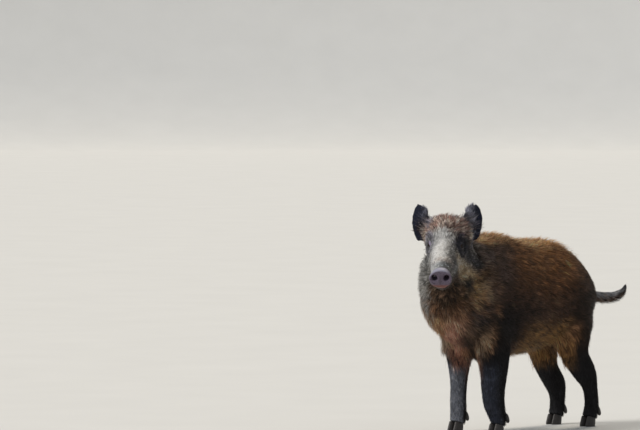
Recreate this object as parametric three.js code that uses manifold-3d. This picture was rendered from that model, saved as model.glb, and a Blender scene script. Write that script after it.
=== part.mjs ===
// A young wild boar, life size, standing still with its head turned to its left and its tail held out.
// Millimetres, +Z up. It faces -Y and its left side is +X. The outer surface is the outline of the coat.
// The body is modelled whole from lofted tubes, and then parted into its named pieces with thin cuts.

import * as THREE from "three";
import { mergeVertices } from "three/addons/utils/BufferGeometryUtils.js";
import Module from "manifold-3d";

const wasm = await Module();
wasm.setup();

// ---- Driving dimensions ----

const GAP = 0.3; // air left between two pieces that meet
const HUGE = 2000; // side of the blocks that part the body
const HEAD_TURN = THREE.MathUtils.degToRad(38.5); // to its left, from straight ahead
const HEAD_DROP = THREE.MathUtils.degToRad(20); // muzzle below the level
const NOSE = place(208, 548, 497); // middle of the snout's face
const EYE_RADIUS = 11.5;
const SOCKET_OPENING = new THREE.Vector3(9, -5.4, 0); // way out of the left eye's socket, in the head's frame
// How far each foot stands ahead of the body's middle.
const FORE_FOOT_LEFT = 147;
const FORE_FOOT_RIGHT = 168;
const HIND_FOOT_LEFT = -285;
const HIND_FOOT_RIGHT = -272;

// ---- Frames and points ----

// A point given as left of the midline, ahead of the middle, and above the ground.
function place(left, ahead, height) {
  return new THREE.Vector3(left, -ahead, height);
}

// The head's own frame: x to its left, y back along the muzzle's axis, z up out of the forehead.
const headFrame = new THREE.Matrix4()
  .makeTranslation(NOSE)
  .multiply(new THREE.Matrix4().makeRotationZ(HEAD_TURN))
  .multiply(new THREE.Matrix4().makeRotationX(HEAD_DROP));

// ---- Solids ----

function solidOf(geometry, matrix) {
  const bare = geometry.clone();
  bare.deleteAttribute("normal");
  bare.deleteAttribute("uv");
  if (matrix) bare.applyMatrix4(matrix);
  const merged = mergeVertices(bare, 1e-3);
  return new wasm.Manifold(
    new wasm.Mesh({
      numProp: 3,
      vertProperties: merged.attributes.position.array,
      triVerts: new Uint32Array(merged.index.array),
    }),
  );
}

function geometryOf(solid) {
  const mesh = solid.getMesh();
  const positions = new Float32Array(mesh.numVert * 3);
  for (let i = 0; i < mesh.numVert; i++) {
    positions.set(mesh.vertProperties.subarray(i * mesh.numProp, i * mesh.numProp + 3), i * 3);
  }
  const geometry = new THREE.BufferGeometry();
  geometry.setAttribute("position", new THREE.BufferAttribute(positions, 3));
  geometry.setIndex(new THREE.BufferAttribute(mesh.triVerts, 1));
  return geometry;
}

// A point on a rounded outline: squareness 2 is an ellipse, and more fills the corners.
function outline(angle, { side, up, down, squareUp, squareDown }) {
  const across = Math.cos(angle);
  const rise = -Math.sin(angle);
  const square = rise > 0 ? squareUp : squareDown;
  const soften = (value) => Math.sign(value) * Math.abs(value) ** (2 / square);
  return [soften(across) * side, soften(rise) * (rise > 0 ? up : down)];
}

// A closed tube along a smooth spine. Each station has its spine point, at, with the half width, side,
// and the reach up and down from the spine. Both ends round off over the given share of the length.
function loft(stations, { around, along, side = new THREE.Vector3(1, 0, 0), ends = [0.06, 0.06], grow = 0 }) {
  const spine = new THREE.CatmullRomCurve3(stations.map((s) => s.at));
  const sizes = new THREE.CatmullRomCurve3(stations.map((s) => new THREE.Vector3(s.side, s.up, s.down)));
  const squares = new THREE.CatmullRomCurve3(
    stations.map((s) => new THREE.Vector3(s.squareUp ?? 2.2, s.squareDown ?? 2.2, 0)),
  );
  const geometry = new THREE.SphereGeometry(1, around, along);
  const position = geometry.attributes.position;
  const rounding = (t) => {
    const near = Math.min(t / ends[0], (1 - t) / ends[1], 1);
    return Math.sqrt(Math.max(0, 1 - (1 - near) ** 2));
  };
  for (let row = 0; row <= along; row++) {
    const even = row / along;
    const t = 0.6 * even + 0.4 * (0.5 - 0.5 * Math.cos(Math.PI * even));
    const middle = spine.getPoint(t);
    const ahead = spine.getTangent(t);
    const across = side.clone().addScaledVector(ahead, -side.dot(ahead)).normalize();
    const upward = new THREE.Vector3().crossVectors(ahead, across);
    const size = sizes.getPoint(t);
    const square = squares.getPoint(t);
    const round = rounding(t);
    const station = {
      side: (size.x + grow) * round,
      up: (size.y + grow) * round,
      down: (size.z + grow) * round,
      squareUp: square.x,
      squareDown: square.y,
    };
    for (let column = 0; column <= around; column++) {
      const [x, z] = outline((2 * Math.PI * (column % around)) / around, station);
      const point = middle.clone().addScaledVector(across, x).addScaledVector(upward, z);
      position.setXYZ(row * (around + 1) + column, point.x, point.y, point.z);
    }
  }
  return geometry;
}

// A large block that fills the space below a plane through a point, facing along a normal.
function below(point, normal, lift = 0) {
  const turn = new THREE.Quaternion().setFromUnitVectors(new THREE.Vector3(0, 0, 1), normal.clone().normalize());
  const top = point.clone().addScaledVector(normal.clone().normalize(), lift - HUGE / 2);
  const matrix = new THREE.Matrix4().compose(top, turn, new THREE.Vector3(1, 1, 1));
  return solidOf(new THREE.BoxGeometry(HUGE, HUGE, HUGE), matrix);
}

// Parts a solid at a plane, and gives what lies above the plane and what lies below it, with the gap between.
function part(solid, point, normal) {
  return {
    above: solid.subtract(below(point, normal, GAP / 2)),
    below: solid.intersect(below(point, normal, -GAP / 2)),
  };
}

// ---- Trunk ----

const trunkStations = [
  { at: place(0, -318, 362), side: 66, up: 68, down: 100 },
  { at: place(0, -280, 378), side: 92, up: 104, down: 108 },
  { at: place(0, -215, 390), side: 106, up: 164, down: 114 },
  { at: place(0, -130, 396), side: 110, up: 198, down: 136, squareDown: 2.1 },
  { at: place(0, -30, 396), side: 114, up: 196, down: 158, squareDown: 2.1 },
  { at: place(0, 65, 398), side: 114, up: 208, down: 162, squareDown: 2.1 },
  { at: place(0, 140, 408), side: 110, up: 216, down: 184 },
  { at: place(0, 208, 420), side: 110, up: 194, down: 190 },
  { at: place(-2, 284, 412), side: 100, up: 132, down: 152, squareUp: 2.3, squareDown: 2.3 },
];
const trunkShape = { around: 24, along: 20, ends: [0.14, 0.12] };

// ---- Neck ----

const neckStations = [
  { at: place(0, 120, 440), side: 94, up: 172, down: 140 },
  { at: place(2, 200, 464), side: 104, up: 160, down: 190, squareDown: 2.4 },
  { at: place(10, 266, 500), side: 96, up: 138, down: 186, squareDown: 2.9 },
  { at: place(33, 322, 546), side: 84, up: 106, down: 150, squareDown: 2.7 },
  { at: place(52, 354, 584), side: 66, up: 78, down: 80 },
];
const neckShape = {
  around: 26,
  along: 14,
  side: new THREE.Vector3(Math.cos(HEAD_TURN / 2), Math.sin(HEAD_TURN / 2), 0),
};

// ---- Head ----

// A station of the head, set back from the snout's face along the muzzle.
function headStation(back, side, up, down, squareUp = 2.2, squareDown = 2.2) {
  return { at: new THREE.Vector3(0, back, 0), side, up, down, squareUp, squareDown };
}
const headStations = [
  headStation(342, 48, 62, 76),
  headStation(308, 66, 84, 108),
  headStation(268, 72, 93, 122, 2.3, 2.3),
  headStation(226, 64, 84, 122, 2.4, 2.4),
  headStation(190, 56, 66, 110, 2.4, 2.4),
  headStation(150, 48, 50, 94, 2.3, 2.3),
  headStation(110, 42, 40, 81, 2.2, 2.2),
  headStation(72, 37, 33, 69, 2.2, 2.2),
  headStation(40, 34, 29, 57, 2.2, 2.2),
  headStation(18, 32, 30, 42, 2.0, 2.2),
  headStation(5, 37, 32, 32, 1.8, 2.3),
  headStation(-4, 37, 32, 31, 1.8, 2.3),
];
const headShape = { around: 24, along: 27, ends: [0.1, 0.02] };

// The cheek's pad of muscle and the brow's ridge, as left ellipsoids in the head's frame: middle, then half sizes.
const headPads = [
  { name: "cheek", at: [43, 250, -90], size: [43, 66, 52] },
  { name: "brow", at: [36, 218, 34], size: [27, 40, 30] },
];
const pad = new THREE.SphereGeometry(1, 12, 8);
const eyeMiddle = new THREE.Vector3(43, 191, 28);
const nostril = { at: new THREE.Vector3(17.5, -4, 3), size: new THREE.Vector3(9, 15, 9.5) };

function headSolid(grow) {
  let head = solidOf(loft(headStations, { ...headShape, grow }));
  for (const { at, size } of headPads) {
    for (const hand of [-1, 1]) {
      const matrix = new THREE.Matrix4().makeTranslation(hand * at[0], at[1], at[2]);
      matrix.scale(new THREE.Vector3(size[0] + grow, size[1] + grow, size[2] + grow));
      head = head.add(solidOf(pad, matrix));
    }
  }
  return head;
}

function placeInHead(solid) {
  return solid.transform(headFrame.elements);
}

// ---- Legs ----

// A station of a leg: the half width across, and the reach ahead and behind.
function legStation(left, ahead, height, side, front, back) {
  return { at: place(left, ahead, height), side, up: front, down: back, squareUp: 2.1, squareDown: 2.1 };
}

// The legs all stand differently, so each has its own stations. The last two end inside the hooves.
const legStations = {
  fore_left: [
    legStation(50, 174, 430, 46, 78, 86),
    legStation(64, 182, 350, 49, 74, 82),
    legStation(73, 174, 282, 45, 64, 68),
    legStation(76, 170, 212, 38, 56, 56),
    legStation(76, 173, 168, 33, 51, 50),
    legStation(76, 174, 138, 31, 48, 46),
    legStation(76, 170, 96, 28, 40, 38),
    legStation(76, 159, 62, 25, 28, 28),
    legStation(76, FORE_FOOT_LEFT + 6, 38, 23, 23, 22),
    legStation(76, FORE_FOOT_LEFT + 12, 12, 23, 23, 22),
  ],
  fore_right: [
    legStation(-50, 174, 430, 46, 78, 86),
    legStation(-64, 182, 350, 49, 74, 82),
    legStation(-73, 172, 282, 44, 60, 64),
    legStation(-76, 168, 222, 36, 43, 44),
    legStation(-76, 168, 182, 30, 35, 34),
    legStation(-76, 169, 144, 27, 30, 29),
    legStation(-76, 172, 98, 25, 27, 27),
    legStation(-76, 172, 62, 23, 23, 24),
    legStation(-76, FORE_FOOT_RIGHT + 6, 38, 23, 23, 22),
    legStation(-76, FORE_FOOT_RIGHT + 12, 12, 23, 23, 22),
  ],
  hind_left: [
    legStation(46, -222, 430, 54, 92, 74),
    legStation(58, -222, 350, 56, 92, 66),
    legStation(64, -207, 296, 51, 84, 61),
    legStation(67, -207, 246, 44, 66, 46),
    legStation(68, -216, 216, 38, 48, 44),
    legStation(68, -250, 176, 30, 46, 46),
    legStation(67, -270, 150, 26, 40, 38),
    legStation(66, -283, 112, 22, 26, 26),
    legStation(66, -287, 64, 21, 21, 21),
    legStation(66, HIND_FOOT_LEFT + 5, 38, 23, 22, 22),
    legStation(66, HIND_FOOT_LEFT + 11, 12, 23, 22, 22),
  ],
  hind_right: [
    legStation(-46, -222, 430, 54, 92, 74),
    legStation(-58, -222, 350, 56, 92, 66),
    legStation(-64, -207, 290, 51, 82, 58),
    legStation(-66, -208, 238, 42, 60, 46),
    legStation(-67, -226, 180, 32, 44, 40),
    legStation(-67, -250, 148, 28, 42, 40),
    legStation(-66, -266, 124, 26, 42, 42),
    legStation(-66, -272, 96, 23, 30, 30),
    legStation(-66, -271, 62, 21, 23, 23),
    legStation(-66, HIND_FOOT_RIGHT + 5, 38, 23, 22, 22),
    legStation(-66, HIND_FOOT_RIGHT + 11, 12, 23, 22, 22),
  ],
};

const legShape = { around: 14, along: 17, ends: [0.12, 0.02] };
const legs = [
  { part: "fore", side: "left", hand: 1, ahead: FORE_FOOT_LEFT },
  { part: "fore", side: "right", hand: -1, ahead: FORE_FOOT_RIGHT },
  { part: "hind", side: "left", hand: 1, ahead: HIND_FOOT_LEFT },
  { part: "hind", side: "right", hand: -1, ahead: HIND_FOOT_RIGHT },
];
for (const leg of legs) {
  leg.name = `${leg.part}_leg_${leg.side}`;
  leg.foot = `${leg.part}_${leg.side}`;
  leg.stations = legStations[leg.foot];
}

// ---- Tail ----

const tailStations = [
  { at: place(0, -284, 414), side: 17, up: 17, down: 20 },
  { at: place(3, -322, 411), side: 14, up: 12, down: 17 },
  { at: place(16, -362, 405), side: 12, up: 9, down: 16 },
  { at: place(37, -400, 403), side: 11, up: 9, down: 14 },
  { at: place(54, -428, 411), side: 10, up: 9, down: 11 },
  { at: place(64, -442, 428), side: 7, up: 6, down: 8 },
  { at: place(68, -446, 447), side: 3, up: 3, down: 3 },
];

// ---- Ears ----

const EAR_LENGTH = 132;
const EAR_WIDTH = 37; // half of it, at the widest
const EAR_THICKNESS = 4;
const EAR_CUP = 16; // how far the edges curl forward
const EAR_LEAN = 26; // how far the tip stands outside the root
const EAR_INSET = 9; // how far the leaf's broad middle stands inside that line
const EAR_ROOT = 24; // how much of it is sunk in the head, at most
const EAR_SHIFT = -4; // both ears swivel a little towards the right
const EAR_APRON = { left: 18, right: 8 }; // how far the inner edge spreads on towards the crown
const earFrame = (hand) =>
  new THREE.Matrix4()
    .makeTranslation(hand * 62 + EAR_SHIFT, 288, 14)
    .multiply(new THREE.Matrix4().makeRotationX(-HEAD_DROP))
    .multiply(new THREE.Matrix4().makeRotationZ(hand * 0.45));

// A leaf that stands on its base, leans outwards and is cupped towards the front.
function earGeometry(hand) {
  const around = 14;
  const along = 10;
  const spread = hand > 0 ? EAR_APRON.left : EAR_APRON.right;
  const geometry = new THREE.SphereGeometry(1, around, along);
  const position = geometry.attributes.position;
  for (let row = 0; row <= along; row++) {
    const t = row / along;
    const leaf = Math.sin(Math.PI * (0.22 + 0.78 * t)) ** 0.6;
    const halfWidth = EAR_WIDTH * (row === 0 ? 0 : leaf);
    const halfThick = EAR_THICKNESS * (1.4 - 0.8 * t) * (row === 0 || row === along ? 0 : 1);
    const lean = hand * (EAR_LEAN * Math.sin((Math.PI / 2) * t) - EAR_INSET * leaf);
    for (let column = 0; column <= around; column++) {
      const angle = (2 * Math.PI * (column % around)) / around;
      const x = Math.cos(angle) * halfWidth;
      const curl = EAR_CUP * (x / EAR_WIDTH) ** 2 + 8 * t * t;
      const y = -curl - Math.sin(angle) * halfThick;
      const apron = hand * spread * Math.sin(Math.PI * t) * Math.min(0, hand * Math.cos(angle));
      position.setXYZ(row * (around + 1) + column, lean + x + apron, y, EAR_LENGTH * t - EAR_ROOT);
    }
  }
  return geometry;
}

// ---- Feet ----

const HOOF_SLOPE = new THREE.Vector3(0, 0.3, 1); // the hoof's upper edge, higher in front
const HOOF_TOP = 30;
const CLAW_SPREAD = 12; // each claw's middle from the foot's

// One half of the cloven hoof, pointed in front and flat below.
function clawStations(left, ahead) {
  const claw = (height, shift, side, front, back) => ({
    at: place(left, ahead + shift, height),
    side,
    up: front,
    down: back,
    squareUp: 1.5,
    squareDown: 2.4,
  });
  return [claw(60, 8, 8, 14, 13), claw(30, 12, 10.5, 18, 17), claw(8, 16, 11.5, 23, 19), claw(-14, 19, 11.5, 26, 19)];
}

// The small claw behind the foot, which hangs clear of the ground.
function dewclawStations(left, ahead) {
  const bead = (height, shift, size) => ({
    at: place(left, ahead + shift, height),
    side: size,
    up: size,
    down: size * 1.2,
  });
  return [bead(66, -8, 8), bead(53, -16, 9), bead(40, -24, 8), bead(29, -29, 4)];
}

// ---- Assembly ----

const pieces = new Map();

let body = solidOf(loft(trunkStations, trunkShape)).add(solidOf(loft(neckStations, neckShape)));
body = body.add(placeInHead(headSolid(0)));
for (const leg of legs) {
  body = body.add(solidOf(loft(leg.stations, legShape)));
}
body = body.add(solidOf(loft(tailStations, { around: 10, along: 14, ends: [0.05, 0.04] })));

// The eyes sit in sockets that open outwards, and the nostrils are blind holes in the snout.
const eyeBall = new THREE.SphereGeometry(1, 12, 8);
for (const hand of [-1, 1]) {
  const ballMatrix = (radius, middle) =>
    new THREE.Matrix4()
      .multiplyMatrices(
        headFrame,
        new THREE.Matrix4().makeTranslation(hand * middle.x, middle.y, middle.z),
      )
      .scale(new THREE.Vector3(radius, radius, radius));
  const opening = eyeMiddle.clone().add(SOCKET_OPENING);
  pieces.set(hand > 0 ? "eye_left" : "eye_right", solidOf(eyeBall, ballMatrix(EYE_RADIUS, eyeMiddle)));
  body = body.subtract(solidOf(eyeBall, ballMatrix(EYE_RADIUS + GAP, eyeMiddle)));
  body = body.subtract(solidOf(eyeBall, ballMatrix(EYE_RADIUS + GAP, opening)));
  const hole = new THREE.Matrix4()
    .multiplyMatrices(
      headFrame,
      new THREE.Matrix4().makeTranslation(hand * nostril.at.x, nostril.at.y, nostril.at.z),
    )
    .scale(nostril.size);
  body = body.subtract(solidOf(new THREE.SphereGeometry(1, 8, 6), hole));
}

// Each ear stands on the head and the neck, and is cut where it meets them.
const headAndNeck = placeInHead(headSolid(GAP)).add(solidOf(loft(neckStations, { ...neckShape, grow: GAP })));
for (const hand of [-1, 1]) {
  const matrix = new THREE.Matrix4().multiplyMatrices(headFrame, earFrame(hand));
  const cut = solidOf(earGeometry(hand), matrix).subtract(headAndNeck);
  const largest = cut.decompose().sort((a, b) => b.volume() - a.volume())[0];
  pieces.set(hand > 0 ? "ear_left" : "ear_right", largest);
}

// The feet: the leg stops at the hoof's upper edge, and two claws carry it to the ground.
for (const leg of legs) {
  const grown = solidOf(loft(leg.stations, { ...legShape, grow: GAP }));
  const track = leg.stations.at(-1).at.x;
  const edge = place(track, leg.ahead + 12, HOOF_TOP);
  const floor = below(place(0, 0, 0), new THREE.Vector3(0, 0, 1));
  const footBox = solidOf(new THREE.BoxGeometry(90, 150, 90), new THREE.Matrix4().makeTranslation(edge.x, edge.y, 0));
  body = body.subtract(footBox.intersect(below(edge, HOOF_SLOPE, GAP / 2)));
  for (const [inside, name] of [[-1, "inner"], [1, "outer"]]) {
    const x = track + leg.hand * inside * CLAW_SPREAD;
    const claw = solidOf(loft(clawStations(x, leg.ahead), { around: 10, along: 4, ends: [0.02, 0.02] }));
    pieces.set(`claw_${leg.foot}_${name}`, claw.intersect(below(edge, HOOF_SLOPE, -GAP / 2)).subtract(floor));
    const dew = solidOf(
      loft(dewclawStations(track + leg.hand * inside * CLAW_SPREAD, leg.ahead), { around: 6, along: 4, ends: [0.1, 0.1] }),
    );
    const cleared = dew.subtract(grown).decompose().sort((a, b) => b.volume() - a.volume())[0];
    pieces.set(`dewclaw_${leg.foot}_${name}`, cleared);
  }
}

// Thin cuts part the body: the four legs, the tail, the head with its snout, and the neck.
for (const leg of legs) {
  const fore = leg.part === "fore";
  const inner = place(leg.hand * 34, leg.ahead, fore ? 232 : 250);
  const slope = new THREE.Vector3(-leg.hand * 0.75, 0, 1);
  const length = 300;
  const quarter = solidOf(
    new THREE.BoxGeometry(HUGE / 2, length, HUGE).translate(
      (leg.hand * HUGE) / 4,
      (fore ? -1 : 1) * (length / 2 + (fore ? 80 : 140)),
      0,
    ),
  );
  pieces.set(leg.name, body.intersect(quarter.intersect(below(inner, slope, -GAP / 2))));
  body = body.subtract(quarter.intersect(below(inner, slope, GAP / 2)));
}

const tailCut = part(body, place(0, -326, 390), new THREE.Vector3(0, -1, 0.05));
pieces.set("tail", tailCut.below);
body = tailCut.above;

const inHead = (x, y, z) => new THREE.Vector3(x, y, z).applyMatrix4(headFrame);
const headNormal = (x, y, z) => new THREE.Vector3(x, y, z).transformDirection(headFrame);
// The neck starts behind the ears and the jaw's angle, and under the jaw.
const behindHead = (lift) =>
  below(inHead(0, 322, 0), headNormal(0, -1, 0.1), lift).add(
    below(inHead(0, 250, -138), headNormal(0, -0.3, 1), lift),
  );
const neckAndTrunk = body.intersect(behindHead(-GAP / 2));
const snoutCut = part(body.subtract(behindHead(GAP / 2)), inHead(0, 12, 0), headNormal(0, 1, 0));
pieces.set("head", snoutCut.above);
pieces.set("snout", snoutCut.below);

const neckCut = part(neckAndTrunk, place(0, 168, 590), new THREE.Vector3(0, 1, -0.3));
pieces.set("trunk", neckCut.above);
pieces.set("neck", neckCut.below);

// ---- Materials and meshes ----

const bristle = new THREE.MeshStandardMaterial({ color: 0x4a3222, roughness: 0.85, metalness: 0 });
const darkBristle = new THREE.MeshStandardMaterial({ color: 0x1b191c, roughness: 0.8, metalness: 0 });
const paleBristle = new THREE.MeshStandardMaterial({ color: 0x8d8478, roughness: 0.85, metalness: 0 });
const noseSkin = new THREE.MeshStandardMaterial({ color: 0x5c4a50, roughness: 0.5, metalness: 0 });
const hornShell = new THREE.MeshStandardMaterial({ color: 0x151416, roughness: 0.45, metalness: 0 });
const eyeGloss = new THREE.MeshStandardMaterial({ color: 0x120c08, roughness: 0.1, metalness: 0 });

function materialOf(name) {
  if (name.startsWith("eye")) return eyeGloss;
  if (name.startsWith("claw") || name.startsWith("dewclaw")) return hornShell;
  if (name === "snout") return noseSkin;
  if (name === "head") return paleBristle;
  if (name.includes("leg") || name.startsWith("ear") || name === "tail") return darkBristle;
  return bristle;
}

const boar = new THREE.Group();
const bounds = new THREE.Box3();
for (const [name, solid] of pieces) {
  const geometry = geometryOf(solid);
  const mesh = new THREE.Mesh(geometry, materialOf(name));
  mesh.name = name;
  boar.add(mesh);
  geometry.computeBoundingBox();
  bounds.union(geometry.boundingBox);
}

// The origin is on the ground, under the middle of the whole animal.
const middle = bounds.getCenter(new THREE.Vector3());
boar.position.set(-middle.x, -middle.y, -bounds.min.z);

export default boar;
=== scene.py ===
import math

import bmesh
import bpy
import numpy as np
from mathutils import Matrix, Vector
from mathutils.bvhtree import BVHTree
from mathutils.kdtree import KDTree


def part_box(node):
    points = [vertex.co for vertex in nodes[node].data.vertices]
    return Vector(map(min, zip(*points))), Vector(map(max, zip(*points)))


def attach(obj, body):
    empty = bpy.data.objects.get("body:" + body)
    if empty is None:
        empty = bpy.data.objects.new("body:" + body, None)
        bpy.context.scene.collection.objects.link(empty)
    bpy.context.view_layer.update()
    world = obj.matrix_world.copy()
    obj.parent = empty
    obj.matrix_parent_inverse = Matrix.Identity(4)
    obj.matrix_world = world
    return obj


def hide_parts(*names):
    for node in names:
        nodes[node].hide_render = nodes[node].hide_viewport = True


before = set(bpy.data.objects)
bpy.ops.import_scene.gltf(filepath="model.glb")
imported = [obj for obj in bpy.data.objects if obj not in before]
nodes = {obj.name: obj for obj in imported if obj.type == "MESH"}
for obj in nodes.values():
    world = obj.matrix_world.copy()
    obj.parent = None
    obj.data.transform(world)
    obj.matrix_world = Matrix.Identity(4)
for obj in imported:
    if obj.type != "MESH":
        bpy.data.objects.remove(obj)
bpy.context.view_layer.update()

# ---- Hide ----
# One hide covers the trunk, neck, head, ears, tail and legs, from the snout to the hooves.
# The solids give the outline of the coat, so copies of them are fused and smoothed, and the hide
# is then drawn in by the depth of the coat at each place.

LEGS = ["fore_leg_left", "fore_leg_right", "hind_leg_left", "hind_leg_right"]
EARS = ["ear_left", "ear_right"]
EYES = ["eye_left", "eye_right"]
FLESH = ["trunk", "neck", "head", "snout", "tail"] + EARS + LEGS
HIDE_VOXEL = 0.003
SWELL = 0.0004  # closes the thin cuts between the solids
THIN_SWELL = 0.0012  # keeps the ears' edges and the tail whole through the fusing
ORBIT = 0.0165  # radius of the fill round each eyeball
BORDER = 0.024  # two neighbouring regions pass into each other over this width


def copy_of(name, swell=0.0):
    """A closed bmesh copy of a solid, grown a little along its normals."""
    bm = bmesh.new()
    bm.from_mesh(nodes[name].data)
    bmesh.ops.remove_doubles(bm, verts=bm.verts, dist=1e-5)
    bmesh.ops.recalc_face_normals(bm, faces=bm.faces)
    bm.normal_update()
    for vert in bm.verts:
        vert.co += vert.normal * swell
    return bm


def mesh_of(bm, name):
    mesh = bpy.data.meshes.new(name)
    bm.to_mesh(mesh)
    bm.free()
    return mesh


def add_object(name, data):
    piece = bpy.data.objects.new(name, data)
    bpy.context.scene.collection.objects.link(piece)
    return piece


def apply_modifiers(piece):
    bpy.context.view_layer.update()
    shown = piece.evaluated_get(bpy.context.evaluated_depsgraph_get())
    mesh = bpy.data.meshes.new_from_object(shown)
    piece.modifiers.clear()
    piece.data = mesh


def centre_of(name):
    low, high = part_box(name)
    return np.array((low + high) / 2)


def fused(name, names, voxel):
    """One closed skin over several solids."""
    bm = bmesh.new()
    for node in names:
        part = mesh_of(copy_of(node, THIN_SWELL if node in EARS + ["tail"] else SWELL), node + "_copy")
        bm.from_mesh(part)
        bpy.data.meshes.remove(part)
    for eye in EYES:
        at = Matrix.Translation(centre_of(eye))
        bmesh.ops.create_icosphere(bm, subdivisions=3, radius=ORBIT, matrix=at)
    piece = add_object(name, mesh_of(bm, name))
    remesh = piece.modifiers.new("fuse", "REMESH")
    remesh.mode = "VOXEL"
    remesh.voxel_size = voxel
    apply_modifiers(piece)
    return piece


def read(items, name, width, kind=np.float32):
    flat = np.empty(len(items) * width, kind)
    items.foreach_get(name, flat)
    return flat.reshape(-1, width)


def points_of(mesh):
    return read(mesh.vertices, "co", 3).astype(float)


def set_points(mesh, points):
    mesh.vertices.foreach_set("co", points.astype(np.float32).ravel())
    mesh.update()


def normals_of(mesh):
    return read(mesh.vertex_normals, "vector", 3).astype(float)


def edges_of(mesh):
    return read(mesh.edges, "vertices", 2, np.int32)


def relaxed(values, edges, strength, rounds):
    """Each row moves towards the mean of its neighbours, by its own strength, several times."""
    count = len(values)
    a, b = edges.T
    near = np.maximum(np.bincount(edges.ravel(), minlength=count), 1)[:, None]
    values = values.copy()
    for _ in range(rounds):
        sums = [np.bincount(a, v[b], count) + np.bincount(b, v[a], count) for v in values.T]
        values += strength[:, None] * (np.stack(sums, 1) / near - values)
    return values


def ramp(x, low, high):
    """0 at low and 1 at high, rising smoothly; low may be the larger of the two."""
    t = np.clip((x - low) / (high - low), 0, 1)
    return t * t * (3 - 2 * t)


def hump(x, middle, width):
    return np.exp(-(((x - middle) / width) ** 2))


def unit(rows):
    return rows / np.maximum(np.linalg.norm(rows, axis=-1, keepdims=True), 1e-9)


# The head has axes of its own: across to its left, back along the muzzle and up out of the brow.
EYE_RISE = math.radians(8.95)  # how far the eyes sit above the line of the muzzle
eye_centres = [centre_of(name) for name in EYES]
snout_centre = centre_of("snout")
across = unit(eye_centres[0] - eye_centres[1])
to_eyes = unit(sum(eye_centres) / 2 - snout_centre)
brow_up = np.cross(across, to_eyes)
back = to_eyes * math.cos(EYE_RISE) - brow_up * math.sin(EYE_RISE)
up = np.cross(across, back)
head_axes = np.array([across, back, up])


def in_head(points):
    return (points - snout_centre) @ head_axes.T


def from_head(x, y, z):
    return snout_centre + across * x + back * y + up * z


def nearness(points, name):
    """1 inside a solid, falling smoothly to 0 at a border's width outside it."""
    low, high = (np.array(corner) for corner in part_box(name))
    close = np.all((points > low - BORDER) & (points < high + BORDER), axis=1)
    tree = BVHTree.FromBMesh(copy_of(name))
    share = np.zeros(len(points))
    for i in np.nonzero(close)[0]:
        point = Vector(points[i])
        spot, normal, _, distance = tree.find_nearest(point)
        inside = (point - spot).dot(normal) < 0
        share[i] = 1 if inside else max(0, 1 - distance / BORDER)
    return share * share * (3 - 2 * share)


def shares_of(points):
    """How much each point belongs to each region of the body; they add up to 1."""
    shares = {name: nearness(points, name) for name in FLESH}
    total = sum(shares.values()) + 1e-6
    shares = {name: share / total for name, share in shares.items()}
    shares["legs"] = sum(shares[name] for name in LEGS)
    shares["ears"] = sum(shares[name] for name in EARS)
    return shares


def soft_normals(mesh, edges, rounds):
    """The mesh's normals, evened out over small bumps."""
    normals = normals_of(mesh)
    return unit(relaxed(normals, edges, np.full(len(normals), 0.7), rounds))


hide = fused("hide", FLESH + EYES, HIDE_VOXEL)
points = points_of(hide.data)
edges = edges_of(hide.data)
shares = shares_of(points)

# The flat facets of the solids are worn down, most on the broad forms and least on thin ones.
WEAR_ROUNDS = 90
ROUNDING = {
    "trunk": 0.7, "neck": 0.7, "head": 0.16, "snout": 0.03, "tail": 0.06, "ears": 0.05, "legs": 0.16
}
FETLOCK = 0.1  # height of the joint above the hooves
rounding = sum(shares[name] * amount for name, amount in ROUNDING.items())
rounding *= 0.1 + 0.9 * ramp(points[:, 2], FETLOCK / 2, FETLOCK * 1.5)
rounding += 0.4 * shares["head"] * ramp(in_head(points) @ (0, 0.6, 0.8), 0.12, 0.18)
points = relaxed(points, edges, rounding, WEAR_ROUNDS)
set_points(hide.data, points)

# The coat's depth in metres, from the hide out to the tips of the hair.
DEPTH = {
    "trunk": 0.011, "neck": 0.014, "head": 0.004, "snout": 0, "tail": 0.003, "ears": 0.001, "legs": 0.004
}
DEEPER_BACK = 0.008
DEEPER_NAPE = 0.008
DEEPER_JAW = 0.005
normals = soft_normals(hide.data, edges, 8)
behind, above = in_head(points).T[1:]
depth = sum(shares[name] * amount for name, amount in DEPTH.items())
depth += ramp(normals[:, 2], 0.55, 0.95) * (shares["trunk"] + shares["neck"]) * DEEPER_BACK
depth += shares["head"] * ramp(behind, 0.2, 0.26) * DEEPER_NAPE
depth += shares["head"] * ramp(above, -0.04, -0.12) * DEEPER_JAW
depth *= 0.25 + 0.75 * ramp(points[:, 2], FETLOCK * 0.6, FETLOCK * 1.4)
depth = relaxed(depth[:, None], edges, np.full(len(points), 0.7), 15)
points -= normals * depth
set_points(hide.data, points)

# The face is worked finer than the body, down to under a millimetre at the eyes and nostrils.
NOSTRIL = (0.018, 0.003)  # half the space between the nostrils, and their height on the disc
EYE_RADIUS = float((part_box(EYES[0])[1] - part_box(EYES[0])[0]).z) / 2


def refine(piece, centre, radius):
    """Splits the faces inside a ball in two each way."""
    bm = bmesh.new()
    bm.from_mesh(piece.data)
    centre = Vector(centre)
    inside = {vert for vert in bm.verts if (vert.co - centre).length < radius}
    cut = [edge for edge in bm.edges if edge.verts[0] in inside and edge.verts[1] in inside]
    bmesh.ops.subdivide_edges(bm, edges=cut, cuts=1, use_grid_fill=True)
    bm.to_mesh(piece.data)
    bm.free()


refine(hide, snout_centre, 0.058)
refine(hide, from_head(0, 0.095, -0.045), 0.055)
for side, eye in zip((1, -1), eye_centres):
    refine(hide, eye, 0.032)
    refine(hide, eye, 0.018)
    refine(hide, from_head(side * NOSTRIL[0], -0.006, NOSTRIL[1]), 0.013)


def tree_of(points):
    tree = KDTree(len(points))
    for i, point in enumerate(points):
        tree.insert(point, i)
    tree.balance()
    return tree


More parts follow.
